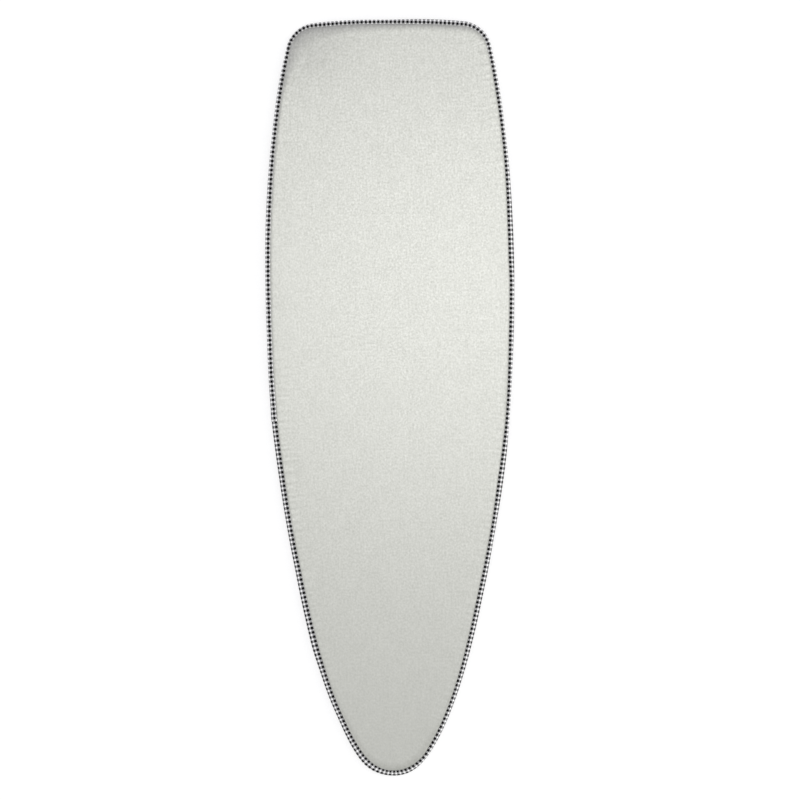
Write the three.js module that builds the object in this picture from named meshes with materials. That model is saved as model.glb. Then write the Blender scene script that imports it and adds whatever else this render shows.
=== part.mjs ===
// Ironing board cover in its fitted shape: a heat-reflecting cotton face over a foam and felt pad.
// Its bound edge turns down over the rim of a board and is drawn in underneath by elastic.
// Millimetres, +Z up, nose towards -Y, silver face up, origin under the middle of the cover.
import * as THREE from "three";

// Outline of the fitted cover, seen from above
const LENGTH = 1300;
const WIDTH = 428;
const WIDEST_FROM_NOSE = 879;
const TAPER_FROM_NOSE = 208;
const TAPER_WIDTH = 261;
const TAPER_ANGLE = 15.4;
const NOSE_TIP_RADIUS = 46;
const TAIL_WIDTH = 330;
const TAIL_BOW = 10;
const TAIL_CORNER_RADIUS = 52;

// Layers, and the room between two of them that lie against each other on a curve
const FABRIC_THICKNESS = 0.6;
const TAPE_THICKNESS = 0.6;
const FOAM_THICKNESS = 3;
const FELT_THICKNESS = 5;
const ELASTIC_DIAMETER = 4;
const CLEARANCE = 0.3;

// Rim, from the flat top over the shoulder, down the side and under the board
const SHOULDER_RUN = 16;
const SHOULDER_DROP = 14;
const TAPE_TOP_SLOPE = 22.5;
const BOARD_EDGE = 12;
const HEM_INSIDE_RADIUS = 2;
const HEM_FLAT = 3;
const PAD_EDGE_SLOPE = 18;
const PAD_EASE = 2;

// Fineness: the steps round the outline, and the turns of the section, in degrees
const STEP_LENGTH = 75;
const STEP_TURN = 8;
const HEM_TURN = 30;
const ELASTIC_TURN = 45;
const SAMPLES = 240;

const MATERIALS = {
  cover_fabric: { color: 0xd9dad4, roughness: 0.5, metalness: 0.45 },
  foam_layer: { color: 0xe6e2d3, roughness: 0.95, metalness: 0 },
  felt_layer: { color: 0xcfccc4, roughness: 1, metalness: 0 },
  binding_tape: { color: 0x7d7d7c, roughness: 0.9, metalness: 0 },
  hem_elastic: { color: 0xefeeea, roughness: 0.85, metalness: 0 },
};

const { degToRad, lerp, smoothstep } = THREE.MathUtils;

// Outline

// The side runs from the widest point to the virtual corner of the tail, as a parabola
function sideCurve() {
  const middle = (WIDEST_FROM_NOSE + LENGTH) / 2;
  return new THREE.QuadraticBezierCurve(
    new THREE.Vector2(WIDTH / 2, WIDEST_FROM_NOSE),
    new THREE.Vector2(WIDTH / 2, middle),
    new THREE.Vector2(TAIL_WIDTH / 2, LENGTH),
  );
}

// The hip joins the widest point to the taper, tangent to both
function hipCurve() {
  const half = TAPER_WIDTH / 2;
  const slope = Math.tan(degToRad(TAPER_ANGLE));
  return new THREE.QuadraticBezierCurve(
    new THREE.Vector2(WIDTH / 2, WIDEST_FROM_NOSE),
    new THREE.Vector2(WIDTH / 2, TAPER_FROM_NOSE + (WIDTH / 2 - half) / slope),
    new THREE.Vector2(half, TAPER_FROM_NOSE),
  );
}

// The nose is a conic from the taper to the tip, tangent to the taper, with the tip's radius
function nosePoint(s) {
  const taper = new THREE.Vector2(TAPER_WIDTH / 2, TAPER_FROM_NOSE);
  const corner = new THREE.Vector2(taper.x - taper.y * Math.tan(degToRad(TAPER_ANGLE)), 0);
  const weight = Math.sqrt((NOSE_TIP_RADIUS * TAPER_FROM_NOSE) / 2) / corner.x;
  const taperShare = (1 - s) ** 2;
  const cornerShare = 2 * s * (1 - s) * weight;
  const point = taper.multiplyScalar(taperShare).addScaledVector(corner, cornerShare);
  return point.divideScalar(taperShare + cornerShare + s ** 2);
}

// The tail edge is an arc, and a smaller arc rounds its corner with the side
function tailCorner(side) {
  const edgeRadius = ((TAIL_WIDTH / 2) ** 2 + TAIL_BOW ** 2) / (2 * TAIL_BOW);
  const edgeCentre = new THREE.Vector2(0, LENGTH - edgeRadius);
  const place = (t) => {
    const tangent = side.getTangent(t);
    const normal = new THREE.Vector2(tangent.y, -tangent.x);
    const centre = side.getPoint(t).addScaledVector(normal, -TAIL_CORNER_RADIUS);
    return { t, normal, centre };
  };
  let low = 0;
  let high = 1;
  for (let i = 0; i < 50; i += 1) {
    const middle = (low + high) / 2;
    const reach = place(middle).centre.distanceTo(edgeCentre) + TAIL_CORNER_RADIUS;
    if (reach > edgeRadius) high = middle;
    else low = middle;
  }
  return { ...place(low), edgeRadius, edgeCentre };
}

function arcPoint(centre, radius, angle) {
  return new THREE.Vector2(centre.x + radius * Math.cos(angle), centre.y + radius * Math.sin(angle));
}

function sampled(point) {
  return Array.from({ length: SAMPLES }, (_, i) => point(i / SAMPLES));
}

// Half of the outline, from the middle of the tail to the tip of the nose, y measured from the nose
function halfOutline() {
  const side = sideCurve();
  const corner = tailCorner(side);
  const hip = hipCurve();
  const edgeEnd = corner.centre.clone().sub(corner.edgeCentre).angle();
  const sideStart = corner.normal.angle();
  return [
    ...sampled((s) => arcPoint(corner.edgeCentre, corner.edgeRadius, lerp(Math.PI / 2, edgeEnd, s))),
    ...sampled((s) => arcPoint(corner.centre, TAIL_CORNER_RADIUS, lerp(edgeEnd, sideStart, s))),
    ...sampled((s) => side.getPoint(corner.t * (1 - s))),
    ...sampled((s) => hip.getPoint(s)),
    ...sampled(nosePoint),
    new THREE.Vector2(0, 0),
  ];
}

// Stations round the whole outline, closer where it turns, each with its outward direction
function outlineStations() {
  const points = halfOutline();
  const headings = points.slice(1).map((p, i) => p.clone().sub(points[i]));
  const normals = points.map((_, i) => {
    if (i === 0) return new THREE.Vector2(0, 1);
    if (i === points.length - 1) return new THREE.Vector2(0, -1);
    const along = headings[i - 1].clone().normalize().add(headings[i].clone().normalize());
    return new THREE.Vector2(-along.y, along.x).normalize();
  });
  const measure = [0];
  headings.forEach((h, i) => {
    const turn = Math.acos(Math.min(1, normals[i].dot(normals[i + 1])));
    measure.push(measure[i] + h.length() / STEP_LENGTH + turn / degToRad(STEP_TURN));
  });
  const total = measure[measure.length - 1];
  const steps = Math.ceil(total);
  const right = Array.from({ length: steps + 1 }, (_, k) => {
    const wanted = Math.min(total, (total * k) / steps);
    const i = Math.max(1, measure.findIndex((m) => m >= wanted));
    const share = (wanted - measure[i - 1]) / (measure[i] - measure[i - 1]);
    const point = points[i - 1].clone().lerp(points[i], share);
    const normal = normals[i - 1].clone().lerp(normals[i], share).normalize();
    return { x: point.x, y: point.y - LENGTH / 2, nx: normal.x, ny: normal.y };
  });
  const left = right.slice(1, -1).reverse();
  return [...right, ...left.map((s) => ({ ...s, x: -s.x, nx: -s.nx }))];
}

const STATIONS = outlineStations();

// Rim section: u is measured inwards from the outline, z up from the hem's underside

const rollRadius = ELASTIC_DIAMETER / 2 + CLEARANCE + TAPE_THICKNESS;
const hemRadius = 2 * rollRadius + HEM_INSIDE_RADIUS;
const fabricOuter = TAPE_THICKNESS + CLEARANCE;
const fabricInner = fabricOuter + FABRIC_THICKNESS;
const foldInner = fabricInner + CLEARANCE + TAPE_THICKNESS;
const foamInner = fabricInner + FOAM_THICKNESS;
const feltInner = foamInner + FELT_THICKNESS;
const rimTop = 2 * rollRadius + BOARD_EDGE + feltInner;
const rollCentre = [hemRadius + HEM_FLAT, rollRadius];

const headingSteps = (from, to, count) =>
  Array.from({ length: count + 1 }, (_, i) => lerp(from, to, i / count));
const TAPE_HEADINGS = headingSteps(TAPE_TOP_SLOPE, 90, 3);
const PAD_HEADINGS = headingSteps(0, PAD_EDGE_SLOPE, 2);
const SHOULDER_HEADINGS = [...PAD_HEADINGS, ...TAPE_HEADINGS];
const HEM_HEADINGS = headingSteps(90, 180, Math.round(90 / HEM_TURN));

// A point of the shoulder where it slopes by the heading, some depth under the tape's outer face
function shoulder(heading, depth) {
  const h = degToRad(heading);
  const t = Math.atan2(SHOULDER_RUN * Math.sin(h), SHOULDER_DROP * Math.cos(h));
  const u = SHOULDER_RUN * (1 - Math.sin(t)) + depth * Math.sin(h);
  const z = rimTop - SHOULDER_DROP * (1 - Math.cos(t)) - depth * Math.cos(h);
  return [u, z];
}

// A point of the hem, which turns from the side (90 degrees) to lie flat under the board (180)
function hem(heading, depth) {
  const h = degToRad(heading);
  return [hemRadius - (hemRadius - depth) * Math.sin(h), hemRadius + (hemRadius - depth) * Math.cos(h)];
}

// The tape's inner leg lies on the fabric, and spreads at the hem to pass over the elastic
function foldDepth(heading) {
  return lerp(foldInner, 2 * rollRadius, smoothstep(heading, 90, 180));
}

// The half circle of the fold round the elastic, from its underside to its top
function roll(radius) {
  return headingSteps(-90, 90, 180 / ELASTIC_TURN).map((angle) => {
    const a = degToRad(angle);
    return [rollCentre[0] + radius * Math.cos(a), rollCentre[1] + radius * Math.sin(a)];
  });
}

function layer(headings, depthAt) {
  return [
    ...headings.map((h) => shoulder(h, depthAt(h))),
    ...HEM_HEADINGS.map((h) => hem(h, depthAt(h))),
  ];
}

function tapeSection() {
  return [
    ...layer(TAPE_HEADINGS, () => 0),
    ...roll(rollRadius),
    ...layer(TAPE_HEADINGS, foldDepth).reverse(),
    ...layer(TAPE_HEADINGS, (h) => foldDepth(h) - TAPE_THICKNESS),
    ...roll(rollRadius - TAPE_THICKNESS).reverse(),
    ...layer(TAPE_HEADINGS, () => TAPE_THICKNESS).reverse(),
  ];
}

function elasticSection() {
  const angles = headingSteps(0, 360 - ELASTIC_TURN, 360 / ELASTIC_TURN - 1);
  return angles.map((angle) => {
    const a = degToRad(angle);
    const radius = ELASTIC_DIAMETER / 2;
    return [rollCentre[0] + radius * Math.cos(a), rollCentre[1] + radius * Math.sin(a)];
  });
}

function fabricProfile() {
  return [
    ...layer(SHOULDER_HEADINGS, () => fabricOuter),
    ...layer(SHOULDER_HEADINGS, () => fabricInner).reverse(),
  ];
}

// A layer of the pad lies flat on the layer above it, bends over the shoulder and is cut square there
function padProfile(outer, inner) {
  return [
    [SHOULDER_RUN + PAD_EASE, rimTop - outer],
    ...PAD_HEADINGS.map((h) => shoulder(h, outer + CLEARANCE)),
    ...PAD_HEADINGS.map((h) => shoulder(h, inner)).reverse(),
  ];
}

// Solids

function ringPositions(section) {
  return STATIONS.flatMap((s) => section.flatMap(([u, z]) => [s.x - u * s.nx, s.y - u * s.ny, z]));
}

function ringFaces(count, joined) {
  const faces = [];
  STATIONS.forEach((_, i) => {
    const here = i * count;
    const next = ((i + 1) % STATIONS.length) * count;
    for (let j = 0; j < (joined ? count : count - 1); j += 1) {
      const k = (j + 1) % count;
      faces.push(here + j, next + j, here + k);
      faces.push(next + j, next + k, here + k);
    }
  });
  return faces;
}

function solid(positions, faces) {
  const geometry = new THREE.BufferGeometry();
  geometry.setAttribute("position", new THREE.Float32BufferAttribute(positions, 3));
  geometry.setIndex(faces);
  geometry.computeVertexNormals();
  return geometry;
}

// A closed section carried round the outline
function ring(section) {
  const area = THREE.ShapeUtils.area(section.map(([u, z]) => new THREE.Vector2(u, z)));
  const turned = area > 0 ? section : section.slice().reverse();
  return solid(ringPositions(turned), ringFaces(turned.length, true));
}

// A profile from a flat top, round its edge, to a flat underside, both closed across the middle
function sheet(profile) {
  const count = profile.length;
  const positions = ringPositions(profile);
  const faces = ringFaces(count, false);
  const middle = STATIONS.length * count;
  const middleY = WIDEST_FROM_NOSE - LENGTH / 2;
  positions.push(0, middleY, profile[0][1], 0, middleY, profile[count - 1][1]);
  STATIONS.forEach((_, i) => {
    const here = i * count;
    const next = ((i + 1) % STATIONS.length) * count;
    faces.push(middle, next, here);
    faces.push(middle + 1, here + count - 1, next + count - 1);
  });
  return solid(positions, faces);
}

function piece(name, geometry) {
  const mesh = new THREE.Mesh(geometry, new THREE.MeshStandardMaterial(MATERIALS[name]));
  mesh.name = name;
  return mesh;
}

const cover = new THREE.Group();
cover.add(
  piece("cover_fabric", sheet(fabricProfile())),
  piece("foam_layer", sheet(padProfile(fabricInner, foamInner))),
  piece("felt_layer", sheet(padProfile(foamInner, feltInner))),
  piece("binding_tape", ring(tapeSection())),
  piece("hem_elastic", ring(elasticSection())),
);

export default cover;
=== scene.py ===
# The ironing board cover, dressed: silver face, foam, felt, checked binding, elastic and sewing thread.
# Metres, +Z up, nose towards -Y, as the solids have it.
import math

import bmesh
import bpy
import numpy as np
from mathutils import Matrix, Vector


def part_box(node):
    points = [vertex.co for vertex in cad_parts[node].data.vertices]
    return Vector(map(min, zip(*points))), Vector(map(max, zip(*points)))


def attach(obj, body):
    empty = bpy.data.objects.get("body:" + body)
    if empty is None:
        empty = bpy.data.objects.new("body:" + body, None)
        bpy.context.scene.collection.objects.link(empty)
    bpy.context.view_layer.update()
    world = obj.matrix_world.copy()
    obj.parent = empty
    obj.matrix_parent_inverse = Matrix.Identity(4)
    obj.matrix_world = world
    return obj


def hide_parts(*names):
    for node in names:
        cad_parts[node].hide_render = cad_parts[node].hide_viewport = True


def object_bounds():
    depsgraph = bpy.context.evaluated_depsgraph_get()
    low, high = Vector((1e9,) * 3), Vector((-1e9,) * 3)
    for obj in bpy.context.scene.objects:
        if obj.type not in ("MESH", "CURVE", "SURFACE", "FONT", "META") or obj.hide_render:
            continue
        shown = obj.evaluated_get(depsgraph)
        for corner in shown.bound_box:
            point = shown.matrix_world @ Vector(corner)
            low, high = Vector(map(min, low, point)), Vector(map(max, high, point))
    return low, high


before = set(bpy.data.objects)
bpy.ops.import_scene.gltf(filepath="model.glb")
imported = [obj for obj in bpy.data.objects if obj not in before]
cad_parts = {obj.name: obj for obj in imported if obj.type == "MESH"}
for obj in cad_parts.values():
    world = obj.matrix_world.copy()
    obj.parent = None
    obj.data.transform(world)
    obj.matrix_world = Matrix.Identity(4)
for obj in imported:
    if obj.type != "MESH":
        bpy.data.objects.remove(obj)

cad_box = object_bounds()

# Outline, as the solids have it
LENGTH = cad_box[1].y - cad_box[0].y
WIDTH = cad_box[1].x - cad_box[0].x
WIDEST_FROM_NOSE = 0.879
TAPER_FROM_NOSE = 0.208
TAPER_WIDTH = 0.261
TAPER_ANGLE = math.radians(15.4)
NOSE_TIP_RADIUS = 0.046
TAIL_WIDTH = 0.330
TAIL_BOW = 0.010
TAIL_CORNER_RADIUS = 0.052

# Rim section: depths are measured inwards from the binding's outer face. The first is the depth at which
# the solids' face lies.
SOLID_FABRIC_DEPTH = 0.0009
SHOULDER_DROP = 0.014
PAD_EDGE_FROM_OUTLINE = 0.0125
FLAT_FROM_OUTLINE = 0.030
FLAT_PAST_SHOULDER = 0.006
HEM_RADIUS = 0.0078
HEM_FLAT = 0.003
ROLL_RADIUS = 0.0029
FABRIC_DEPTH = 0.0012
FABRIC_THICKNESS = 0.0005
FOAM_DEPTH = 0.0015
FELT_DEPTH = 0.0045
BOARD_DEPTH = 0.0095
PAD_CLEARANCE = 0.0002
RIM_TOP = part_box("cover_fabric")[1].z + SOLID_FABRIC_DEPTH
SIDE_TOP = RIM_TOP - SHOULDER_DROP
SIDE_HEIGHT = SIDE_TOP - HEM_RADIUS
ROLL_CENTRE = (HEM_RADIUS + HEM_FLAT, ROLL_RADIUS)
RIGHT_ANGLE = math.pi / 2

# Binding tape: one ply is folded round the rim, with both of its edges turned in
PLY = 0.0004
OUTER_LEG_DEPTH = 0.0002
OUTER_TURN_DEPTH = 0.00065
INNER_TURN_DEPTH = 0.00172
INNER_LEG_DEPTH = 0.00217
TURN_IN_ANGLE = math.radians(13)
LAP_PLACE = 2.176
LAP_LENGTH = 0.014
LAP_LIFT = 0.00047
LAP_RAMP = 0.008

# Checks of the tape
CHECK_ACROSS = 0.008
CHECK_ON_SIDES = 0.00788
CHECK_ON_ENDS = 0.0071
CHECK_ROW_FROM_OUTLINE = 0.008
DARK_HALF_ALONG = 0.285
DARK_HALF_ACROSS = 0.29
COLUMN_TONE = 0.68
ROW_TONE = 0.62
STRIPE_SOFTNESS = 0.015
THREADS_IN_CHECK = 22
CROSSING_SHARE = 0.3
# Stations over which the outline's curvature is evened out
CURVING_STATIONS = 15

# How the sewn edge lies from place to place, clockwise from the middle of the tail: metres round the
# outline, then millimetres that the edge wanders outwards, that the binding shows from above, and from
# the binding's upper edge to its first row of black checks
EDGE_PLACES = (
    (0.00, -2.9, 6.6, 3.2), (0.05, -1.0, 8.2, 3.1), (0.10, -0.2, 8.0, 2.7), (0.15, -0.2, 7.7, 3.0),
    (0.20, 0.5, 6.5, 3.1), (0.25, 0.8, 6.4, 2.4), (0.30, 0.4, 6.4, 2.3), (0.35, -0.7, 5.9, 2.2),
    (0.40, -0.8, 6.6, 2.0), (0.45, -1.3, 7.3, 1.9), (0.50, -1.2, 8.7, 2.2), (0.56, -0.9, 9.0, 2.3),
    (0.60, -0.8, 7.5, 2.5), (0.70, -0.2, 7.5, 2.3), (0.75, -0.2, 6.4, 2.3), (0.80, 0.3, 5.8, 2.0),
    (0.85, 0.8, 6.0, 2.2), (0.90, 1.9, 8.4, 2.3), (0.95, 1.4, 9.2, 2.3), (1.00, 0.1, 7.5, 1.9),
    (1.05, -0.8, 6.9, 1.9), (1.10, -0.4, 8.3, 2.5), (1.15, -0.5, 8.6, 2.3), (1.20, 0.1, 8.3, 1.9),
    (1.25, 0.2, 7.7, 1.5), (1.35, -0.1, 6.6, 1.7), (1.42, 0.4, 6.8, 1.9), (1.44, 1.0, 5.4, 1.9),
    (1.46, 0.5, 7.2, 1.9), (1.48, -1.4, 8.5, 1.4), (1.50, -4.6, 8.5, 1.1), (1.52, -4.6, 8.3, 0.4),
    (1.54, -0.9, 9.6, 0.4), (1.56, 2.4, 10.9, 1.2), (1.58, 1.6, 10.0, 1.6), (1.60, 0.7, 9.6, 1.9),
    (1.65, -1.2, 8.5, 2.0), (1.70, 0.1, 8.8, 1.9), (1.74, 0.5, 9.2, 1.9),
    (1.78, 2.2, 10.5, 2.2), (1.85, 0.7, 9.8, 2.6), (1.92, -0.6, 9.0, 2.3), (2.00, -0.4, 8.7, 2.6),
    (2.08, 0.1, 8.9, 2.3), (2.17, 1.4, 8.8, 2.3), (2.21, 0.8, 8.8, 4.1), (2.25, 0.2, 8.2, 4.0),
    (2.32, -1.1, 7.8, 3.3), (2.42, -1.4, 7.8, 3.6), (2.55, -1.3, 8.0, 3.0), (2.65, -1.0, 6.8, 2.7),
    (2.75, 0.0, 6.9, 2.4), (2.80, -1.4, 5.9, 2.4), (2.85, -2.9, 5.6, 2.9), (2.90, -1.4, 7.3, 3.0),
    (2.95, -1.5, 7.2, 3.0),
)
# How the shoulder bends: metres round the outline, then millimetres that it runs inwards and drops
SHOULDER_PLACES = (
    (0.00, 19, 6.5), (0.13, 20, 6.5), (0.20, 11, 6.5), (0.44, 12, 7), (0.49, 12, 12), (0.56, 12, 12),
    (0.60, 12, 7.5), (0.86, 12, 6.5), (0.91, 12, 12), (1.00, 12, 10), (1.05, 12, 8), (1.12, 12, 12),
    (1.30, 12, 11), (1.38, 14, 9), (1.42, 20, 9), (1.50, 22, 11), (1.56, 22, 10), (1.62, 18, 12),
    (1.68, 14, 11), (1.75, 14, 11), (1.79, 14, 9), (1.92, 12, 11), (2.19, 12, 12), (2.25, 13, 7),
    (2.74, 13, 6.5), (2.80, 24, 6.5), (2.86, 38, 6.5), (2.92, 26, 6.5),
)
EDGE_EASE = 0.024
EASE_POINTS = 31
# The pad is pressed flatter round one corner of the tail
SAG_PLACE = 2.86
SAG_DEPTH = 0.0028
SAG_REACH = 0.062

# The seam pulls the layers down beside the binding's upper edge, and puckers them
SEAM_FROM_FOLD = 0.0018
SEAM_DIP = 0.0004
SEAM_WIDTH = 0.0028
PUCKER_REACH = 0.018
# Metres round the outline, then the height of the puckers in millimetres
PUCKER_PLACES = (
    (0.0, 0.12), (0.35, 0.18), (1.2, 0.12), (1.95, 0.15), (2.05, 0.3), (2.35, 0.3), (2.6, 0.15),
)
# Slow waves, as radians a metre and phase, and the short ones whose pace they sway, as radians a metre,
# sway, phase and height
PUCKER_SWAY = ((41, 0), (67, 1.3))
PUCKER_WAVES = ((520, 2.2, 0, 1), (811, 1.7, 2, 0.6))
# Where the pull of the seam and the sag of the corner begin and are full, from the side's top up
UPPER_FROM = -0.002
UPPER_FULL = 0.003

# The elastic draws the hem in, so the cloth below the side's top gathers. Its reach is measured down the
# side and in along the hem.
GATHER_STEP = 0.0016
GATHER_REACH = np.linspace(-0.002, 0.0218, 15)
GATHER_HELD = 0.004
GATHER_FREE = 0.009
GATHER_PROUD = 0.0003
LIP_HELD = 0.6
LIP_PULL = 20
GATHER_SPARE = 0.03
GATHER_LIMIT = 0.0016
GATHER_SEED = 0.00012
GATHER_SWAY = ((23, 0), (57, 0.7))
GATHER_WAVES = ((560, 2.5, 0, 1), (930, -1.9, 1, 0.5))
GATHER_SCALE = 25
DRAW_FRAMES = 12
GATHER_FRAMES = 30
GATHER_BENDING = 0.5
HEM_MIDDLE = HEM_RADIUS - FABRIC_DEPTH
ARC_END = SIDE_HEIGHT + HEM_MIDDLE * RIGHT_ANGLE

# Sewing thread
STITCH_PITCH = 0.003
STITCH_LENGTH = 0.0027
THREAD_RADIUS = 0.00018
STITCH_RINGS = (0.0, 0.1, 0.28, 0.5, 0.72, 0.9, 1.0)
STITCH_SIDES = 6
# In radii: how deep a stitch's ends are, how far its middle rises from there, and how fast it thickens
STITCH_SUNK = 2.2
STITCH_RISE = 2.7
STITCH_SWELL = 3
THREAD_TWIST = 14
CHANNEL_SEAM_TURN = math.radians(164)

# Elastic
ELASTIC_RADIUS = 0.002
BRAID_PITCH = 0.004
BRAID_STRANDS = 4

# Fineness: steps round the outline, and points of the stretches of each section
STATION_STEP = 0.0025
PAD_STATION_STEP = 0.005
TAPE_STATION_STEP = 0.002
CURVE_SAMPLES = 400
HALVINGS = 50
FACE_FLAT_POINTS = 9
FACE_SHOULDER_POINTS = 26
FACE_HEM_POINTS = 8
PAD_POINTS = 13
TAPE_SHOULDER_POINTS = 14
TAPE_HEM_POINTS = 10
TAPE_TURN_POINTS = 4
TAPE_ROLL_POINTS = 11
FOLD_POINTS = 5
FOLD_CROWN = TAPE_TURN_POINTS + FOLD_POINTS // 2 - 1
ELASTIC_SIDES = 12
# The flat of each layer runs out from a spine of this share of the length
SPINE_SHARE = 0.78
FLAT_ROWS = np.linspace(0, 1, 15)
MERGE_DISTANCE = 1e-5
THREAD_MERGE_DISTANCE = 1e-6


# Outline

def bezier(a, b, c, t):
    t = t[:, None]
    return (1 - t) ** 2 * np.array(a) + 2 * t * (1 - t) * np.array(b) + t ** 2 * np.array(c)


def arc(centre, radius, start, end, t):
    angle = start + (end - start) * t
    return np.array(centre) + radius * np.stack([np.cos(angle), np.sin(angle)], axis=1)


def tail_corner():
    """The side's curve and where the corner's arc leaves it, the arc's centre and first normal, and the
    centre and radius of the tail edge."""
    side = (
        (WIDTH / 2, WIDEST_FROM_NOSE),
        (WIDTH / 2, (WIDEST_FROM_NOSE + LENGTH) / 2),
        (TAIL_WIDTH / 2, LENGTH),
    )
    edge_radius = ((TAIL_WIDTH / 2) ** 2 + TAIL_BOW ** 2) / (2 * TAIL_BOW)
    edge_centre = np.array((0, LENGTH - edge_radius))
    low, high = 0.0, 1.0
    for _ in range(HALVINGS):
        t = (low + high) / 2
        a, b, c = map(np.array, side)
        along = 2 * (1 - t) * (b - a) + 2 * t * (c - b)
        normal = np.array((along[1], -along[0])) / np.linalg.norm(along)
        centre = bezier(*side, np.array([t]))[0] - normal * TAIL_CORNER_RADIUS
        if np.linalg.norm(centre - edge_centre) + TAIL_CORNER_RADIUS > edge_radius:
            high = t
        else:
            low = t
    return side, t, centre, normal, edge_centre, edge_radius


def half_outline():
    """From the middle of the tail to the tip of the nose on the right, y measured from the nose."""
    t = np.linspace(0, 1, CURVE_SAMPLES, endpoint=False)
    side, side_end, centre, normal, edge_centre, edge_radius = tail_corner()
    edge_end = math.atan2(*(centre - edge_centre)[::-1])
    slope = math.tan(TAPER_ANGLE)
    taper = np.array((TAPER_WIDTH / 2, TAPER_FROM_NOSE))
    hip_corner = (WIDTH / 2, TAPER_FROM_NOSE + (WIDTH - TAPER_WIDTH) / 2 / slope)
    nose_corner = np.array((taper[0] - taper[1] * slope, 0))
    # The nose is a conic, and this weight of its corner gives the tip its radius
    weight = math.sqrt(NOSE_TIP_RADIUS * TAPER_FROM_NOSE / 2) / nose_corner[0]
    shares = np.stack([(1 - t) ** 2, 2 * t * (1 - t) * weight, t ** 2], axis=1)
    nose = (shares[:, :1] * taper + shares[:, 1:2] * nose_corner) / shares.sum(axis=1, keepdims=True)
    return np.vstack([
        arc(edge_centre, edge_radius, RIGHT_ANGLE, edge_end, t),
        arc(centre, TAIL_CORNER_RADIUS, edge_end, math.atan2(normal[1], normal[0]), t),
        bezier(*side, side_end * (1 - t)),
        bezier(side[0], hip_corner, taper, t),
        nose,
        [(0, 0)],
    ])


def closed_outline():
    right = half_outline() - (0, LENGTH / 2)
    left = right[-2:0:-1] * (-1, 1)
    loop = np.vstack([right, left, right[:1]])
    lengths = np.concatenate([[0], np.cumsum(np.linalg.norm(np.diff(loop, axis=0), axis=1))])
    return loop, lengths


LOOP, LOOP_LENGTHS = closed_outline()
PERIMETER = LOOP_LENGTHS[-1]


def outline_point(s):
    s = np.mod(s, PERIMETER)
    return np.stack([np.interp(s, LOOP_LENGTHS, LOOP[:, k]) for k in (0, 1)], axis=-1)


def outline_frame(s):
    """Points, directions along and outwards at the lengths s, clockwise from the tail's middle."""
    reach = 0.002
    along = outline_point(s + reach) - outline_point(s - reach)
    along /= np.linalg.norm(along, axis=-1, keepdims=True)
    outwards = np.stack([-along[..., 1], along[..., 0]], axis=-1)
    return outline_point(s), along, outwards


def even_stations(step):
    count = 2 * round(PERIMETER / step / 2)
    return np.arange(count) * PERIMETER / count


def eased(places, column, lengths, period=None):
    """One column of the places at the lengths, in metres, eased from place to place."""
    places = np.array(sorted(places))
    shift = np.linspace(-EDGE_EASE, EDGE_EASE, EASE_POINTS)
    weight = 1 + np.cos(math.pi * shift / EDGE_EASE)
    value = np.interp(lengths[:, None] + shift, places[:, 0], places[:, column], period=period)
    return (value * weight).sum(axis=1) / weight.sum() / 1000


WANDER, SHOWN = (eased(EDGE_PLACES, column, LOOP_LENGTHS, PERIMETER) for column in (1, 2))
RUN, DROP = (eased(SHOULDER_PLACES, column, LOOP_LENGTHS, PERIMETER) for column in (1, 2))
PUCKER_HEIGHT = eased(PUCKER_PLACES, 1, LOOP_LENGTHS, PERIMETER)


def at_stations(lies, s):
    """How the edge lies at the lengths s, as a column."""
    return np.interp(np.mod(s, PERIMETER), LOOP_LENGTHS, lies)[:, None]


def bend_at(s):
    """The run and the drop of the shoulder at the lengths s."""
    return at_stations(RUN, s), at_stations(DROP, s)


def flat_from(bend):
    """How far from the outline the top is surely flat."""
    return np.maximum(FLAT_FROM_OUTLINE, bend[0] + FLAT_PAST_SHOULDER)


# Rim section: u is measured inwards from the outline, z up from the hem's underside

def shoulder(heading, depth, bend):
    """The shoulder where it slopes by the heading, some depth under the binding's outer face."""
    run, drop = bend
    t = np.arctan2(run * np.sin(heading), drop * np.cos(heading))
    u = run * (1 - np.sin(t)) + depth * np.sin(heading)
    z = RIM_TOP - drop * (1 - np.cos(t)) - depth * np.cos(heading)
    return np.stack(np.broadcast_arrays(u, z), axis=-1)


def under_shoulder(u, depth, bend):
    """A layer straight under the top, some depth down, at distances from the outline."""
    run, drop = bend
    t = np.arcsin(np.clip(1 - u / run, 0, 1))
    return np.stack(np.broadcast_arrays(u, RIM_TOP - drop * (1 - np.cos(t)) - depth), axis=-1)


def hem(heading, depth):
    """The hem, which turns from the side at a right angle to lie flat under the board."""
    u = HEM_RADIUS - (HEM_RADIUS - depth) * np.sin(heading)
    z = HEM_RADIUS + (HEM_RADIUS - depth) * np.cos(heading)
    return np.stack(np.broadcast_arrays(u, z), axis=-1)


def shoulder_heading(u, bend):
    """The slope of the shoulder's outer face, at a distance from the outline."""
    run, drop = bend
    t = np.arcsin(1 - u / run)
    return np.arctan2(drop * np.sin(t), run * np.cos(t))


def smoothstep(x, low, high):
    t = np.clip((x - low) / (high - low), 0, 1)
    return t * t * (3 - 2 * t)


def spread_depth(heading, depth, tuck):
    """The inner leg's depth, which grows along the hem until the leg passes over the elastic."""
    t = smoothstep(heading, RIGHT_ANGLE, math.pi)
    return depth + (2 * ROLL_RADIUS - PLY / 2 - tuck - depth) * t


def rows(stretches):
    """Joins stretches of the section, each (stations or 1, points, 2), into one path for every station."""
    stations = max(len(part) for part in stretches)
    return np.concatenate([np.broadcast_to(p, (stations, *p.shape[1:])) for p in stretches], axis=1)


def uneven_waves(s, sway, waves):
    """Short waves along the outline, whose pace sways with slow ones."""
    slow = sum(np.sin(rate * s + phase) for rate, phase in sway)
    return sum(height * np.sin(rate * s + share * slow + phase) for rate, share, phase, height in waves)


def puckers(s):
    """Uneven short waves along the seam, from minus one to one."""
    return uneven_waves(s, PUCKER_SWAY, PUCKER_WAVES) / sum(wave[-1] for wave in PUCKER_WAVES)


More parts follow.
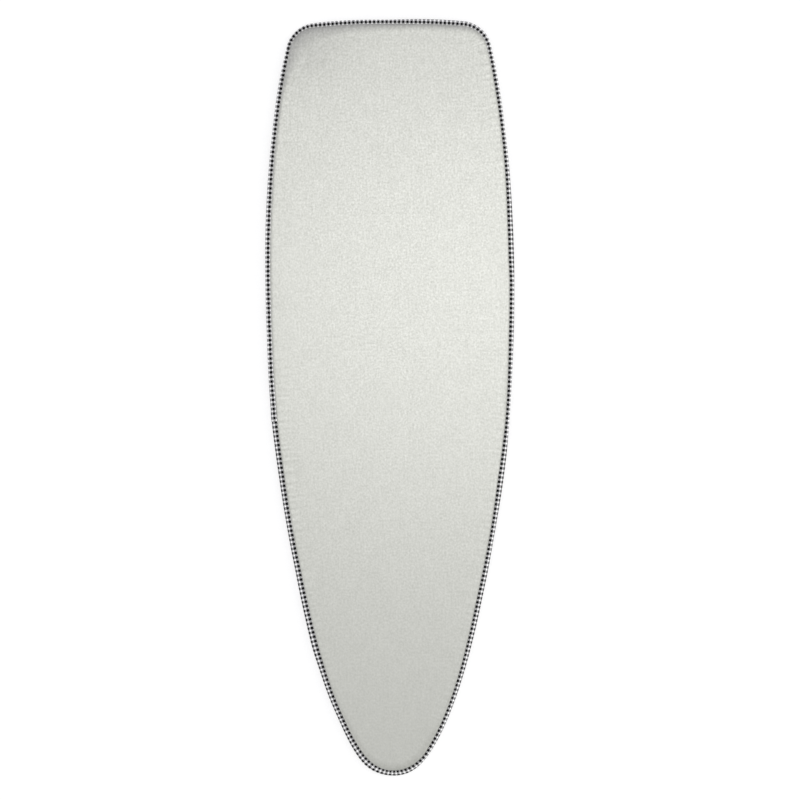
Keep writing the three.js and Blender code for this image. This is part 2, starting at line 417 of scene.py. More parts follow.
def seam_dip(u, s):
    """How far the seam draws the upper layers down, at a distance from the outline."""
    seam = at_stations(SHOWN, s) - SEAM_FROM_FOLD
    groove = SEAM_DIP * np.exp(-((u - seam) / SEAM_WIDTH) ** 2)
    height = at_stations(PUCKER_HEIGHT, s) * puckers(s)[:, None]
    wave = height * np.exp(-((u - seam) / PUCKER_REACH) ** 2)
    return groove + wave


def corner_sag(flat):
    """How far the top lies lower than elsewhere, at points seen from above."""
    away = np.linalg.norm(flat - outline_point(SAG_PLACE), axis=-1)
    return SAG_DEPTH * np.exp(-(away / SAG_REACH) ** 2)


# Gathers

def hem_reach(u, z):
    """How far points of the section lie down the side and in along the hem."""
    turn = np.clip(np.arctan2(HEM_RADIUS - z, HEM_RADIUS - u), 0, RIGHT_ANGLE)
    low = np.where(u > HEM_RADIUS, ARC_END + u - HEM_RADIUS, SIDE_HEIGHT + HEM_MIDDLE * turn)
    return np.where(z > HEM_RADIUS, SIDE_TOP - z, low)


def hem_at(reach, radius):
    """The section of the hem at the reaches, where it turns by a radius."""
    turn = np.clip((reach - SIDE_HEIGHT) / HEM_MIDDLE, 0, RIGHT_ANGLE)
    u = HEM_RADIUS - radius * np.cos(turn) + np.maximum(reach - ARC_END, 0)
    z = HEM_RADIUS - radius * np.sin(turn) + np.maximum(SIDE_HEIGHT - reach, 0)
    return u, z


def draw_in(cut, drawn, held, snug, faces):
    """Where a cloth comes to lie when its held points are drawn from the cut shape to the drawn one."""
    piece = make_piece("hem_cloth", cut * GATHER_SCALE, faces, [])
    piece.shape_key_add(name="cut")
    pull = piece.shape_key_add(name="drawn")
    pull.data.foreach_set("co", (drawn * GATHER_SCALE).astype(np.float32).ravel())
    for name, weights in (("held", held), ("snug", snug)):
        group = piece.vertex_groups.new(name=name)
        for index, weight in enumerate(weights.ravel().tolist()):
            group.add([index], weight, "REPLACE")
    cloth = piece.modifiers.new("cloth", "CLOTH")
    settings = cloth.settings
    settings.vertex_group_mass = "held"
    settings.vertex_group_shrink = "snug"
    settings.shrink_min = -GATHER_SPARE
    settings.shrink_max = 0
    settings.bending_stiffness = GATHER_BENDING
    settings.pin_stiffness = LIP_PULL
    settings.effector_weights.gravity = 0
    cloth.point_cache.frame_end = GATHER_FRAMES
    for number, share in ((1, 0), (DRAW_FRAMES, 1)):
        pull.value = share
        pull.keyframe_insert("value", frame=number)
    for number in range(1, GATHER_FRAMES + 1):
        bpy.context.scene.frame_set(number)
    lying = piece.evaluated_get(bpy.context.evaluated_depsgraph_get()).data
    result = np.empty(cut.size, np.float32)
    lying.vertices.foreach_get("co", result)
    bpy.context.scene.frame_set(1)
    mesh = piece.data
    action = mesh.shape_keys.animation_data.action
    bpy.data.objects.remove(piece)
    bpy.data.meshes.remove(mesh)
    bpy.data.actions.remove(action)
    return result.reshape(cut.shape) / GATHER_SCALE


def gathers():
    """How the drawn hem moves, in metres inwards, along and up, at even stations and at the reaches."""
    s = even_stations(GATHER_STEP)
    point, along, outwards = outline_frame(s)
    u, z = hem_at(GATHER_REACH, HEM_MIDDLE)
    whole = np.ones((len(s), 1))
    drawn = on_outline(point, outwards, whole * u, whole * z)
    free = whole * smoothstep(GATHER_REACH, GATHER_HELD, GATHER_FREE)
    # Slight uneven waves, from which the gathers grow
    waves = GATHER_SEED * free * uneven_waves(s, GATHER_SWAY, GATHER_WAVES)[:, None]
    cut = on_outline(point, outwards, waves + u[0], whole * (z[0] + GATHER_REACH[0] - GATHER_REACH))
    held = whole * np.where(GATHER_REACH > GATHER_HELD, 0.0, 1.0)
    held[:, -1] = LIP_HELD
    faces = grid_faces(len(s), len(GATHER_REACH), closed=True)
    moved = draw_in(cut, drawn, held, 1 - free, faces) - drawn
    moves = np.stack([
        -(moved[..., :2] * outwards[:, None]).sum(axis=-1),
        (moved[..., :2] * along[:, None]).sum(axis=-1),
        moved[..., 2],
    ], axis=-1)
    size = np.linalg.norm(moves, axis=-1, keepdims=True)
    moves *= GATHER_LIMIT * np.tanh(size / GATHER_LIMIT) / np.maximum(size, 1e-9)
    moves[..., 0] = np.maximum(moves[..., 0], u[0] - u - GATHER_PROUD)
    moves[..., 2] = np.maximum(moves[..., 2], -hem_at(GATHER_REACH, HEM_RADIUS)[1])
    return moves


def on_outline(point, outwards, u, z):
    """Points of a section at the stations' frames."""
    flat = point[:, None] - u[..., None] * outwards[:, None]
    return np.concatenate([flat, z[..., None]], axis=-1)


def hem_moves(u, z, s):
    """How points of the section move with the gathers."""
    stations = len(GATHERS)
    row = np.interp(hem_reach(u, z), GATHER_REACH, np.arange(len(GATHER_REACH)))
    column = np.broadcast_to((np.mod(s, PERIMETER) / PERIMETER * stations)[:, None], row.shape)
    low_row = np.minimum(row.astype(int), len(GATHER_REACH) - 2)
    low_column = column.astype(int) % stations
    next_column = (low_column + 1) % stations
    across = (row - low_row)[..., None]
    along = (column - np.floor(column))[..., None]
    here = GATHERS[low_column, low_row] * (1 - across) + GATHERS[low_column, low_row + 1] * across
    following = GATHERS[next_column, low_row] * (1 - across) + GATHERS[next_column, low_row + 1] * across
    return here * (1 - along) + following * along


def lift(path, s):
    """The section's path, (stations, points, 2), carried to its stations."""
    point, along, outwards = outline_frame(s)
    u, z = path[..., 0], path[..., 1]
    moves = hem_moves(u, z, s)
    inwards = u + moves[..., 0] - at_stations(WANDER, s)
    flat = point[:, None] - inwards[..., None] * outwards[:, None] + moves[..., 1:2] * along[:, None]
    upper = smoothstep(z, SIDE_TOP + UPPER_FROM, SIDE_TOP + UPPER_FULL)
    height = z + moves[..., 2] - upper * (seam_dip(u, s) + corner_sag(flat))
    return np.concatenate([flat, height[..., None]], axis=-1)


# Meshes

def grid_faces(stations, points, closed):
    i = np.arange(stations if closed else stations - 1)[:, None]
    j = np.arange(points - 1)[None, :]
    here, following = i * points, (i + 1) % stations * points
    return np.stack([here + j, following + j, following + j + 1, here + j + 1], axis=-1).reshape(-1, 4)


def make_piece(name, vertices, faces, materials, coordinates=None):
    """A smooth mesh piece on the body, with texture coordinates given for each vertex."""
    mesh = bpy.data.meshes.new(name)
    mesh.from_pydata(np.reshape(vertices, (-1, 3)).tolist(), [], np.asarray(faces).tolist())
    if coordinates is not None:
        of_loop = np.empty(len(mesh.loops), np.int32)
        mesh.loops.foreach_get("vertex_index", of_loop)
        layer = mesh.uv_layers.new(name="cloth")
        layer.data.foreach_set("uv", np.reshape(coordinates, (-1, 2))[of_loop].astype(np.float32).ravel())
    for material in materials:
        mesh.materials.append(material)
    mesh.shade_smooth()
    piece = bpy.data.objects.new(name, mesh)
    bpy.context.scene.collection.objects.link(piece)
    return piece


def merge_doubles(piece, distance=MERGE_DISTANCE):
    work = bmesh.new()
    work.from_mesh(piece.data)
    bmesh.ops.remove_doubles(work, verts=work.verts, dist=distance)
    bmesh.ops.dissolve_degenerate(work, edges=work.edges, dist=distance / 10)
    work.to_mesh(piece.data)
    work.free()


def thicken(piece, thickness, offset, back=0):
    modifier = piece.modifiers.new("thickness", "SOLIDIFY")
    modifier.thickness = thickness
    modifier.offset = offset
    modifier.material_offset = back
    modifier.material_offset_rim = back


def declare(piece, slot, *nodes):
    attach(piece, "root")
    if nodes:
        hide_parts(*nodes)
    return piece


def flat_rows(ring, s):
    """Rows from the spine of the cover out to a ring of points, (stations, rows, 3), without the ring."""
    spine = np.stack([0 * s, SPINE_SHARE * outline_point(s)[:, 1]], axis=-1)
    share = FLAT_ROWS[:-1, None]
    flat = spine[:, None] * (1 - share) + ring[:, None, :2] * share
    level = ring[:, 2].max()
    return np.concatenate([flat, level - corner_sag(flat)[..., None]], axis=-1)


# Materials: each pair of colours is the darker and the paler end of what the surface shows

SILVER = ((0.395, 0.400, 0.368, 1), (0.557, 0.562, 0.529, 1))
COTTON = ((0.66, 0.65, 0.61, 1), (0.78, 0.77, 0.73, 1))
GINGHAM_WHITE = (0.93, 0.93, 0.925, 1)
GINGHAM_BLACK = (0.004, 0.004, 0.0045, 1)
FOAM = ((0.72, 0.68, 0.55, 1), (0.84, 0.81, 0.70, 1))
FELT = ((0.40, 0.39, 0.36, 1), (0.68, 0.66, 0.62, 1))
ELASTIC = ((0.62, 0.61, 0.58, 1), (0.83, 0.82, 0.79, 1))
THREAD = ((0.010, 0.010, 0.011, 1), (0.030, 0.030, 0.032, 1))
FLOOR_LIT = (0.8, 0.8, 0.8, 1)
FLOOR_SEEN = (0.29, 0.29, 0.29, 1)
FLOOR_GLOW = 0.74
WEAVE_PITCH = 0.00045
# What a noise or a blend of noises mostly spans, which is spread over a pair of colours or roughnesses
NOISE_SPAN = (0.3, 0.7)
FIBRE_SPAN = (0.35, 0.65)
GRAIN_SPAN = (-0.4, 0.4)
# How strong the silver's grain is: from one place along the cover to another, from one strength to
# another. The grain is the coating's own random tone, but its rise from the nose towards the tail is
# painted glints, standing in for the lamp's glints on the coating.
GRAIN_AND_GLINT_TO_NOSE = (-0.56, -0.26, 0.74, 1.24)
GRAIN_AND_GLINT_TO_TAIL = (0.22, 0.45, 0.0, 0.38)
STREAK_SHARE = 0.25
CLOUD_SHARE = 0.15
WEAVE_SHARE = 0.05
SILVER_ROUGHNESS = (0.416, 0.464)
CLUMP_SHARE = 0.3


def feed(tree, socket, value):
    if isinstance(value, bpy.types.NodeSocket):
        tree.links.new(value, socket)
    else:
        socket.default_value = value


def add_node(tree, kind, **inputs):
    made = tree.nodes.new(kind)
    for name, value in inputs.items():
        feed(tree, made.inputs[name.replace("_", " ")], value)
    return made


def calc(tree, operation, *values):
    made = tree.nodes.new("ShaderNodeMath")
    made.operation = operation
    for socket, value in zip(made.inputs, values):
        feed(tree, socket, value)
    return made.outputs[0]


def remap(tree, value, low, high, to_low=0.0, to_high=1.0):
    made = tree.nodes.new("ShaderNodeMapRange")
    for socket, entry in zip(made.inputs, (value, low, high, to_low, to_high)):
        feed(tree, socket, entry)
    return made.outputs[0]


def scaled(tree, vector, scale):
    made = tree.nodes.new("ShaderNodeVectorMath")
    made.operation = "MULTIPLY"
    feed(tree, made.inputs[0], vector)
    feed(tree, made.inputs[1], scale)
    return made.outputs[0]


def noise(tree, vector, per_metre, detail):
    place = scaled(tree, vector, per_metre)
    made = add_node(tree, "ShaderNodeTexNoise", Vector=place, Scale=1.0, Detail=detail)
    return made.outputs["Fac"]


def mix_colour(tree, share, a, b):
    made = tree.nodes.new("ShaderNodeMix")
    made.data_type = "RGBA"
    # The node has sockets for every data type, and those for colours come seventh and eighth
    for index, value in ((0, share), (6, a), (7, b)):
        feed(tree, made.inputs[index], value)
    return made.outputs[2]


def bump(tree, height, distance):
    made = add_node(tree, "ShaderNodeBump", Height=height, Distance=distance, Strength=1.0)
    return made.outputs["Normal"]


def new_material(name, roughness, metallic=0.0, specular=0.3):
    material = bpy.data.materials.new(name)
    material.use_nodes = True
    tree = material.node_tree
    surface = tree.nodes["Principled BSDF"]
    surface.inputs["Roughness"].default_value = roughness
    surface.inputs["Metallic"].default_value = metallic
    surface.inputs["Specular IOR Level"].default_value = specular
    return material, tree, surface


def place_coordinates(tree):
    return tree.nodes.new("ShaderNodeTexCoord").outputs["Object"]


def cloth_coordinates(tree):
    made = tree.nodes.new("ShaderNodeUVMap")
    made.uv_map = "cloth"
    split = add_node(tree, "ShaderNodeSeparateXYZ", Vector=made.outputs[0])
    return split.outputs[0], split.outputs[1]


def weave_height(tree, across, along, pitch):
    """Plain weave: the crowns of the threads, over and under in turn."""
    first = calc(tree, "SINE", calc(tree, "MULTIPLY", across, math.pi / pitch))
    second = calc(tree, "SINE", calc(tree, "MULTIPLY", along, math.pi / pitch))
    return calc(tree, "MULTIPLY", first, second)


def silver_material():
    """Cotton with a thin metal coating: its gloss is mottled by the threads below the coating."""
    material, tree, surface = new_material("metallised cotton", roughness=0.45, metallic=1.0)
    place = place_coordinates(tree)
    split = add_node(tree, "ShaderNodeSeparateXYZ", Vector=place)
    across, along = split.outputs[0], split.outputs[1]
    mottle = noise(tree, place, per_metre=(300, 270, 300), detail=1.0)
    streaks = noise(tree, place, per_metre=(420, 60, 60), detail=1.0)
    glints = noise(tree, place, per_metre=(330, 280, 310), detail=1.0)
    clouds = noise(tree, place, per_metre=(34, 34, 34), detail=2.0)
    blend = calc(tree, "ADD", calc(tree, "MULTIPLY", mottle, 1 - STREAK_SHARE),
                 calc(tree, "MULTIPLY", streaks, STREAK_SHARE))
    # Painted glints: the grain's random tone is made weaker at the nose and stronger towards the tail,
    # where the lamp's glints show on the coating
    grain_glint_to_nose = remap(tree, along, *GRAIN_AND_GLINT_TO_NOSE)
    grain_glint_to_tail = remap(tree, along, *GRAIN_AND_GLINT_TO_TAIL)
    strength = calc(tree, "ADD", grain_glint_to_nose, grain_glint_to_tail)
    grain_and_glints = calc(tree, "MULTIPLY", calc(tree, "SUBTRACT", blend, 0.5), strength)
    cloud = calc(tree, "MULTIPLY", calc(tree, "SUBTRACT", clouds, 0.5), CLOUD_SHARE)
    shade = calc(tree, "ADD", grain_and_glints, cloud)
    feed(tree, surface.inputs["Base Color"], mix_colour(tree, remap(tree, shade, *GRAIN_SPAN), *SILVER))
    feed(tree, surface.inputs["Roughness"], remap(tree, glints, *NOISE_SPAN, *SILVER_ROUGHNESS))
    weave = weave_height(tree, across, along, WEAVE_PITCH)
    height = calc(tree, "ADD", calc(tree, "MULTIPLY", weave, WEAVE_SHARE), mottle)
    feed(tree, surface.inputs["Normal"], bump(tree, height, distance=0.00006))
    return material


def cotton_material():
    material, tree, surface = new_material("cotton back", roughness=0.9)
    place = place_coordinates(tree)
    split = add_node(tree, "ShaderNodeSeparateXYZ", Vector=place)
    slubs = noise(tree, place, per_metre=(500, 60, 500), detail=2.0)
    feed(tree, surface.inputs["Base Color"], mix_colour(tree, remap(tree, slubs, *NOISE_SPAN), *COTTON))
    weave = weave_height(tree, split.outputs[0], split.outputs[1], WEAVE_PITCH)
    feed(tree, surface.inputs["Normal"], bump(tree, weave, distance=0.0001))
    return material


def stripe(tree, coordinate, half_width):
    """One where a dark stripe is centred on each whole number."""
    offset = calc(tree, "ABSOLUTE", calc(tree, "SUBTRACT", calc(tree, "FRACT", coordinate), 0.5))
    edge = 0.5 - half_width
    return remap(tree, offset, edge - STRIPE_SOFTNESS, edge + STRIPE_SOFTNESS)


def gingham_material():
    material, tree, surface = new_material("gingham tape", roughness=0.9, specular=0.08)
    along, across = cloth_coordinates(tree)
    warp_dark = stripe(tree, across, DARK_HALF_ACROSS)
    weft_dark = stripe(tree, along, DARK_HALF_ALONG)
    either = calc(tree, "MAXIMUM", calc(tree, "MULTIPLY", warp_dark, ROW_TONE),
                  calc(tree, "MULTIPLY", weft_dark, COLUMN_TONE))
    both = calc(tree, "MULTIPLY", calc(tree, "MINIMUM", warp_dark, weft_dark), 1 - COLUMN_TONE)
    even = calc(tree, "ADD", either, both)
    cell_along = calc(tree, "FLOOR", calc(tree, "MULTIPLY", along, THREADS_IN_CHECK))
    cell_across = calc(tree, "FLOOR", calc(tree, "MULTIPLY", across, THREADS_IN_CHECK))
    odd = calc(tree, "PINGPONG", calc(tree, "ADD", cell_along, cell_across), 1.0)
    woven = calc(tree, "ADD", calc(tree, "MULTIPLY", odd, warp_dark),
                 calc(tree, "MULTIPLY", calc(tree, "SUBTRACT", 1.0, odd), weft_dark))
    dark = calc(tree, "ADD", calc(tree, "MULTIPLY", even, 1 - CROSSING_SHARE),
                calc(tree, "MULTIPLY", woven, CROSSING_SHARE))
    feed(tree, surface.inputs["Base Color"], mix_colour(tree, dark, GINGHAM_WHITE, GINGHAM_BLACK))
    threads = weave_height(tree, calc(tree, "MULTIPLY", across, CHECK_ACROSS),
                           calc(tree, "MULTIPLY", along, CHECK_ON_SIDES), CHECK_ACROSS / THREADS_IN_CHECK)
    feed(tree, surface.inputs["Normal"], bump(tree, threads, distance=0.0001))
    return material


def foam_material():
    material, tree, surface = new_material("foam", roughness=0.95, specular=0.1)
    place = place_coordinates(tree)
    cells = add_node(tree, "ShaderNodeTexVoronoi", Vector=place, Scale=900.0).outputs["Distance"]
    tint = noise(tree, place, per_metre=(60, 60, 60), detail=3.0)
    feed(tree, surface.inputs["Base Color"], mix_colour(tree, remap(tree, tint, *NOISE_SPAN), *FOAM))
    feed(tree, surface.inputs["Normal"], bump(tree, cells, distance=0.0004))
    return material


def felt_material():
    material, tree, surface = new_material("needle felt", roughness=1.0, specular=0.1)
    place = place_coordinates(tree)
    fibres = noise(tree, place, per_metre=(700, 160, 700), detail=4.0)
    crossing = noise(tree, place, per_metre=(150, 800, 700), detail=4.0)
    clumps = noise(tree, place, per_metre=(45, 45, 45), detail=3.0)
    blend = calc(tree, "MULTIPLY", calc(tree, "ADD", fibres, crossing), 0.5)
    shade = calc(tree, "ADD", calc(tree, "MULTIPLY", blend, 1 - CLUMP_SHARE),
                 calc(tree, "MULTIPLY", clumps, CLUMP_SHARE))
    feed(tree, surface.inputs["Base Color"], mix_colour(tree, remap(tree, shade, *FIBRE_SPAN), *FELT))
    feed(tree, surface.inputs["Normal"], bump(tree, shade, distance=0.0012))
    return material


def elastic_material():
    material, tree, surface = new_material("braided elastic", roughness=0.8, specular=0.2)
    along, around = cloth_coordinates(tree)
    left = calc(tree, "SINE", calc(tree, "ADD", along, around))
    right = calc(tree, "SINE", calc(tree, "SUBTRACT", along, around))
    braid = calc(tree, "MAXIMUM", left, right)
    feed(tree, surface.inputs["Base Color"], mix_colour(tree, remap(tree, braid, -0.5, 1.0), *ELASTIC))
    feed(tree, surface.inputs["Normal"], bump(tree, braid, distance=0.0003))
    return material


def thread_material():
    material, tree, surface = new_material("sewing thread", roughness=0.6, specular=0.4)
    along, around = cloth_coordinates(tree)
    twist = calc(tree, "SINE", calc(tree, "ADD", along, around))
    feed(tree, surface.inputs["Base Color"], mix_colour(tree, remap(tree, twist, -1.0, 1.0), *THREAD))
    feed(tree, surface.inputs["Normal"], bump(tree, twist, distance=0.0001))
    return material


def floor_material():
    """A white floor: plain where light meets it, lifted to white where it is seen or mirrored."""
    material, tree, surface = new_material("white floor", roughness=1.0, specular=0.0)
    ray = tree.nodes.new("ShaderNodeLightPath")
    seen = calc(tree, "MAXIMUM", ray.outputs["Is Camera Ray"], ray.outputs["Is Glossy Ray"])
    seen = calc(tree, "MAXIMUM", seen, ray.outputs["Is Transmission Ray"])
    feed(tree, surface.inputs["Base Color"], mix_colour(tree, seen, FLOOR_LIT, FLOOR_SEEN))
    surface.inputs["Emission Color"].default_value = WHITE
    feed(tree, surface.inputs["Emission Strength"], calc(tree, "MULTIPLY", seen, FLOOR_GLOW))
    return material


# Pieces

def silver_face():
    s = even_stations(STATION_STEP)
    bend = bend_at(s)
    share = np.linspace(0, 1, FACE_FLAT_POINTS)[None, :-1]
    inwards = flat_from(bend) + (bend[0] - flat_from(bend)) * share
    path = rows([
        np.stack(np.broadcast_arrays(inwards, RIM_TOP - FABRIC_DEPTH), axis=-1),
        shoulder(np.linspace(0, RIGHT_ANGLE, FACE_SHOULDER_POINTS)[None], FABRIC_DEPTH, bend),
        hem(np.linspace(RIGHT_ANGLE, math.pi, FACE_HEM_POINTS), FABRIC_DEPTH)[None],
    ])
    rim = lift(path, s)
    vertices = np.concatenate([flat_rows(rim[:, 0], s), rim], axis=1)
    faces = grid_faces(len(s), vertices.shape[1], closed=True)
    piece = make_piece("silver_face", vertices, faces, [silver_material(), cotton_material()])
    merge_doubles(piece)
    thicken(piece, FABRIC_THICKNESS, 0, back=1)
    return declare(piece, "metallised_cotton", "cover_fabric")


def pad(name, material, top_depth, under_depth):
    """A layer of the pad, flat on top and below, bent over the shoulder and cut square there."""
    s = even_stations(PAD_STATION_STEP)
    bend = bend_at(s)
    share = np.linspace(1, 0, PAD_POINTS)[None]
    u = PAD_EDGE_FROM_OUTLINE + (flat_from(bend) - PAD_EDGE_FROM_OUTLINE) * share
    upper = lift(under_shoulder(u, top_depth + PAD_CLEARANCE, bend), s)
    lower = lift(under_shoulder(u[:, ::-1], under_depth, bend), s)
    inside = flat_rows(lower[:, -1], s)[:, ::-1]
    vertices = np.concatenate([flat_rows(upper[:, 0], s), upper, lower, inside], axis=1)
    piece = make_piece(name, vertices, grid_faces(len(s), vertices.shape[1], closed=True), [material])
    merge_doubles(piece)
    return piece


def foam_pad():
    piece = declare(pad("foam_pad", foam_material(), FOAM_DEPTH, FELT_DEPTH), "foam", "foam_layer")
    return piece


def felt_pad():
    piece = declare(pad("felt_pad", felt_material(), FELT_DEPTH, BOARD_DEPTH), "felt", "felt_layer")
    return piece


def tape_stations():
    """The tape's stations, as lengths round the outline and along the tape, which runs from lap to lap."""
    length = PERIMETER + LAP_LENGTH
    along = np.linspace(0, length, round(length / TAPE_STATION_STEP))
    return LAP_PLACE + LAP_LENGTH - along, along


def tape_path(s, along):
    """The ply's section at every station. At the lap the end lies over the start, which is tucked in."""
    bend = bend_at(s)
    top = shoulder_heading(at_stations(SHOWN, s), bend)
    over = LAP_LIFT * smoothstep(along, PERIMETER - LAP_RAMP, PERIMETER)[:, None]
    under = LAP_LIFT * (1 - smoothstep(along, LAP_LENGTH, LAP_LENGTH + LAP_RAMP))[:, None]
    down = top + (RIGHT_ANGLE - top) * np.linspace(0, 1, TAPE_SHOULDER_POINTS)[None]
    below = np.linspace(RIGHT_ANGLE, math.pi, TAPE_HEM_POINTS)[None]
    low = smoothstep(below, RIGHT_ANGLE, math.pi)
    shift = under * low - over * (1 - low)
    turn = np.linspace(0, 1, TAPE_TURN_POINTS)[None]
    roll = np.linspace(-RIGHT_ANGLE, RIGHT_ANGLE, TAPE_ROLL_POINTS)
    aim = np.stack([np.cos(roll), np.sin(roll)], axis=-1)
    round_elastic = aim * (ROLL_RADIUS - PLY / 2 - under)[..., None] + ROLL_CENTRE
    inner = spread_depth(below, INNER_LEG_DEPTH + over, under)
    return rows([
        shoulder(top + TURN_IN_ANGLE * (1 - turn), OUTER_TURN_DEPTH - over, bend),
        top_fold(top, OUTER_TURN_DEPTH - over, OUTER_LEG_DEPTH - over, bend),
        shoulder(down, OUTER_LEG_DEPTH - over, bend),
        hem(below, OUTER_LEG_DEPTH + shift),
        round_elastic,
        hem(below, inner)[:, ::-1],
        shoulder(down[:, ::-1], INNER_LEG_DEPTH + over, bend),
        top_fold(top, INNER_LEG_DEPTH + over, INNER_TURN_DEPTH + over, bend),
        shoulder(top + TURN_IN_ANGLE * turn, INNER_TURN_DEPTH + over, bend),
    ])


def top_fold(top, start_depth, end_depth, bend):
    """The half turn of the ply at the tape's top edge, from one depth to another."""
    middle = (start_depth + end_depth) / 2
    radius = (start_depth - end_depth) / 2
    angles = np.linspace(0, math.pi, FOLD_POINTS)[1:-1]
    depth = middle + radius * np.cos(angles)[None]
    inwards = np.abs(radius) * np.sin(angles)[None]
    base = shoulder(top, depth, bend)
    return base + np.stack([inwards * np.cos(top), inwards * np.sin(top)], axis=-1)


def first_row(s):
    """How far the first row of black checks lies from the tape's upper edge, with a step at the lap."""
    places = []
    for place, _, _, row in EDGE_PLACES:
        places.append((place - PERIMETER if place > LAP_PLACE else place, row))
    return eased(places, 1, s)[:, None]


def check_coordinates(s, along, path):
    """Checks along and across the tape, with a dark stripe centred on each whole number."""
    _, tangent, _ = outline_frame(s)
    heading = np.unwrap(np.arctan2(tangent[:, 1], tangent[:, 0]))
    curving = np.abs(np.gradient(heading, s))
    even = np.ones(CURVING_STATIONS) / CURVING_STATIONS
    curving = np.convolve(np.pad(curving, CURVING_STATIONS // 2, mode="edge"), even, mode="valid")
    pitch = CHECK_ON_SIDES + (CHECK_ON_ENDS - CHECK_ON_SIDES) * np.abs(tangent[:, 0])
    pitch = pitch * (1 + CHECK_ROW_FROM_OUTLINE * curving)
    steps = np.diff(along) / ((pitch[1:] + pitch[:-1]) / 2)
    count_along = np.concatenate([[0], np.cumsum(steps)])
    lengths = np.cumsum(np.linalg.norm(np.diff(path, axis=1), axis=-1), axis=1)
    lengths = np.concatenate([np.zeros((len(path), 1)), lengths], axis=1)
    from_top = lengths - lengths[:, FOLD_CROWN:FOLD_CROWN + 1]
    count_across = (from_top - first_row(s)) / CHECK_ACROSS
    return np.stack([np.broadcast_to(count_along[:, None], count_across.shape), count_across], axis=-1)


def gingham_binding():
    s, along = tape_stations()
    path = tape_path(s, along)
    faces = grid_faces(len(s), path.shape[1], closed=False)[:, ::-1]
    piece = make_piece("gingham_binding", lift(path, s), faces, [gingham_material()],
                       check_coordinates(s, along, path))
    thicken(piece, PLY, 0)
    return declare(piece, "gingham_tape", "binding_tape")


def braided_elastic():
    s = even_stations(STATION_STEP)
    around = np.linspace(0, 2 * math.pi, ELASTIC_SIDES + 1)
    path = np.stack([np.cos(around), np.sin(around)], axis=-1) * ELASTIC_RADIUS + ROLL_CENTRE
    vertices = lift(np.broadcast_to(path, (len(s), *path.shape)), s)
    braid = s[:, None] * 2 * math.pi / BRAID_PITCH
    coordinates = np.stack(np.broadcast_arrays(braid, around[None] * BRAID_STRANDS), axis=-1)
    piece = make_piece("braided_elastic", vertices, grid_faces(len(s), len(around), closed=True),
                       [elastic_material()], coordinates)
    merge_doubles(piece)
    return declare(piece, "elastic", "hem_elastic")


def seam_stitches(base_of):
    """Stitches along a seam: base_of gives its points of the section, at a depth under the outer face."""
    count = round(PERIMETER / STITCH_PITCH)
    along = np.array(STITCH_RINGS)
    centre = np.arange(count)[:, None] * PERIMETER / count
    s = (centre + (along - 0.5) * STITCH_LENGTH).ravel()
    swell = np.sin(math.pi * along)
    depth = np.tile(THREAD_RADIUS * (STITCH_SUNK - STITCH_RISE * swell ** 0.5), count)[:, None]
    radius = np.tile(THREAD_RADIUS * np.minimum(1, STITCH_SWELL * swell), count)
    around = np.linspace(0, 2 * math.pi, STITCH_SIDES + 1)
    ring = np.stack([np.cos(around), np.sin(around)], axis=-1)
    vertices = lift(base_of(s, depth) + ring * radius[:, None, None], s)
    # The floor presses the thread flat where the hem rests on it
    vertices[..., 2] = np.maximum(vertices[..., 2], 0)
    rings, points = len(along), len(around)
    one = grid_faces(rings, points, closed=False)
    faces = (one[None] + np.arange(count)[:, None, None] * rings * points).reshape(-1, 4)
    twist = np.tile(along * THREAD_TWIST, count)[:, None]
    coordinates = np.stack(np.broadcast_arrays(twist, around[None]), axis=-1)
    return vertices.reshape(-1, 3), faces, coordinates.reshape(-1, 2)


def top_seam(s, depth):
    bend = bend_at(s)
    return shoulder(shoulder_heading(at_stations(SHOWN, s) - SEAM_FROM_FOLD, bend), depth, bend)


def channel_seam(s, depth):
    return hem(np.full_like(depth, CHANNEL_SEAM_TURN), depth)


def seam_thread():
    """Two rows of stitches: through the binding's upper edges, and along the channel of the elastic."""
    made = [seam_stitches(base) for base in (top_seam, channel_seam)]
    start = len(made[0][0])
    piece = make_piece("seam_thread", np.concatenate([m[0] for m in made]),
                       np.concatenate([made[0][1], made[1][1] + start]), [thread_material()],
                       np.concatenate([m[2] for m in made]))
    merge_doubles(piece, THREAD_MERGE_DISTANCE)
    return declare(piece, "gingham_tape")


# Stage

CAMERA_HEIGHT = 6.0
IMAGE_WIDTH = 800
PIXEL = 0.0017117
FRAME_WIDTH = IMAGE_WIDTH * PIXEL
CAMERA_SHIFT = (0.0162, -0.0031)
CAMERA_ROLL = math.radians(-0.4)
# Light from all round: ranges are of a direction's share towards the dark side or towards the right
WORLD_LIGHT = 0.95
WHITE = (1, 1, 1, 1)
DARK_SIDE = (-0.35, 0.94, 0.0)
DARK_SIDE_RANGE = (0.25, 0.85)
DARK_SIDE_SHARE = 0.37
DARK_SIDE_COLOUR = (0.90, 0.87, 1.0, 1)
TINT_RANGE = (0.1, 0.8)
NOSE_SIDE_RANGE = (-0.85, -0.3)
NOSE_SIDE_SHARE = 0.75
RIGHT_RANGE = (0.55, 1.0)
RIGHT_LIGHT = 2.9
LEFT_RANGE = (-1.0, -0.55)
LEFT_LIGHT = 2.4
KEY_PLACE = (0.31, 0.325, 3.0)
KEY_SIZE = (1.8, 0.5)
KEY_POWER = 13.0
FLOOR_HALF = 30


def add_camera():
    data = bpy.data.cameras.new("camera")
    data.sensor_width = 36
    data.lens = data.sensor_width * (CAMERA_HEIGHT - SIDE_TOP) / FRAME_WIDTH
    data.clip_end = 100
    camera = bpy.data.objects.new("camera", data)
    camera.location = (*CAMERA_SHIFT, CAMERA_HEIGHT)
    camera.rotation_euler = (0, 0, CAMERA_ROLL)
    bpy.context.scene.collection.objects.link(camera)
    bpy.context.scene.camera = camera


def add_light(name, place, size, power):
    data = bpy.data.lights.new(name, "AREA")
    data.shape = "ELLIPSE"
    data.size, data.size_y = size
    data.energy = power
    light = bpy.data.objects.new(name, data)
    light.location = place
    bpy.context.scene.collection.objects.link(light)


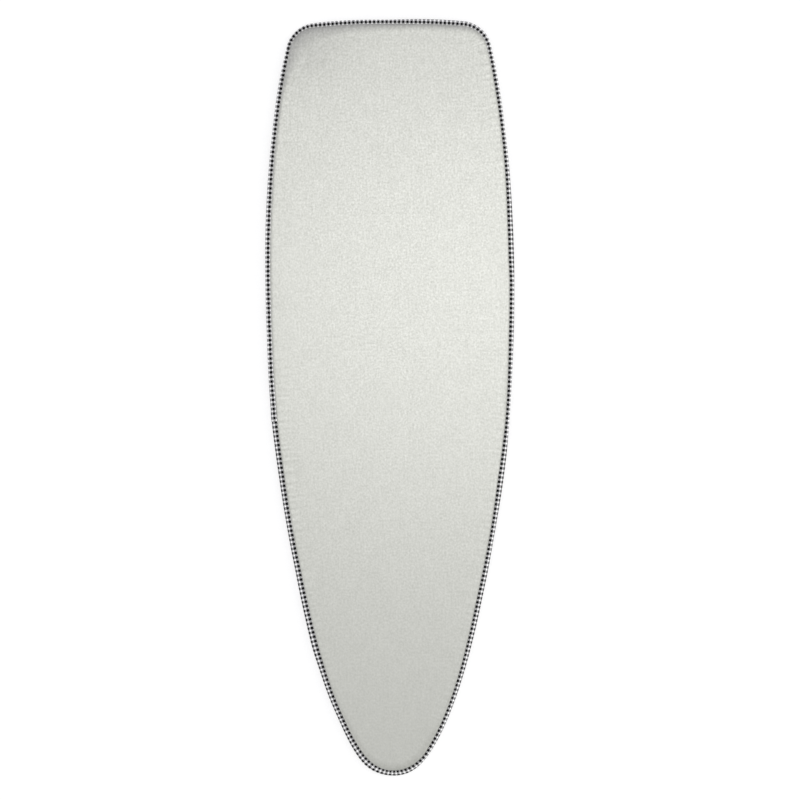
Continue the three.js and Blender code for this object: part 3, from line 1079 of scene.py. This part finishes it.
def add_world(strength):
    """Even light from all round, more from left and right and less from beyond the tail and the nose."""
    world = bpy.data.worlds.new("studio")
    world.use_nodes = True
    tree = world.node_tree
    ray = tree.nodes.new("ShaderNodeLightPath")
    direction = tree.nodes.new("ShaderNodeTexCoord").outputs["Generated"]
    aim = tree.nodes.new("ShaderNodeVectorMath")
    aim.operation = "DOT_PRODUCT"
    feed(tree, aim.inputs[0], direction)
    feed(tree, aim.inputs[1], DARK_SIDE)
    split = add_node(tree, "ShaderNodeSeparateXYZ", Vector=direction)
    towards = aim.outputs["Value"]
    ends = remap(tree, towards, *DARK_SIDE_RANGE, strength, strength * DARK_SIDE_SHARE)
    right = remap(tree, split.outputs[0], *RIGHT_RANGE, 1.0, RIGHT_LIGHT)
    left = remap(tree, split.outputs[0], *LEFT_RANGE, LEFT_LIGHT, 1.0)
    nose = remap(tree, towards, *NOSE_SIDE_RANGE, NOSE_SIDE_SHARE, 1.0)
    light = calc(tree, "MULTIPLY", calc(tree, "MULTIPLY", ends, nose), calc(tree, "MULTIPLY", right, left))
    level = calc(tree, "MAXIMUM", light, ray.outputs["Is Camera Ray"])
    background = tree.nodes["Background"]
    unseen = calc(tree, "SUBTRACT", 1.0, ray.outputs["Is Camera Ray"])
    tint = calc(tree, "MULTIPLY", remap(tree, towards, *TINT_RANGE), unseen)
    feed(tree, background.inputs["Color"], mix_colour(tree, tint, WHITE, DARK_SIDE_COLOUR))
    feed(tree, background.inputs["Strength"], level)
    bpy.context.scene.world = world


def add_floor():
    mesh = bpy.data.meshes.new("floor")
    half = FLOOR_HALF
    corners = [(-half, -half, 0), (half, -half, 0), (half, half, 0), (-half, half, 0)]
    mesh.from_pydata(corners, [], [(0, 1, 2, 3)])
    mesh.materials.append(floor_material())
    floor = bpy.data.objects.new("floor", mesh)
    bpy.context.scene.collection.objects.link(floor)


add_camera()
add_world(WORLD_LIGHT)
add_light("key", KEY_PLACE, KEY_SIZE, KEY_POWER)
add_floor()

GATHERS = gathers()
face = silver_face()
foam_pad()
felt_pad()
binding = gingham_binding()
braided_elastic()
seam_thread()

bpy.context.scene.view_settings.view_transform = "Standard"
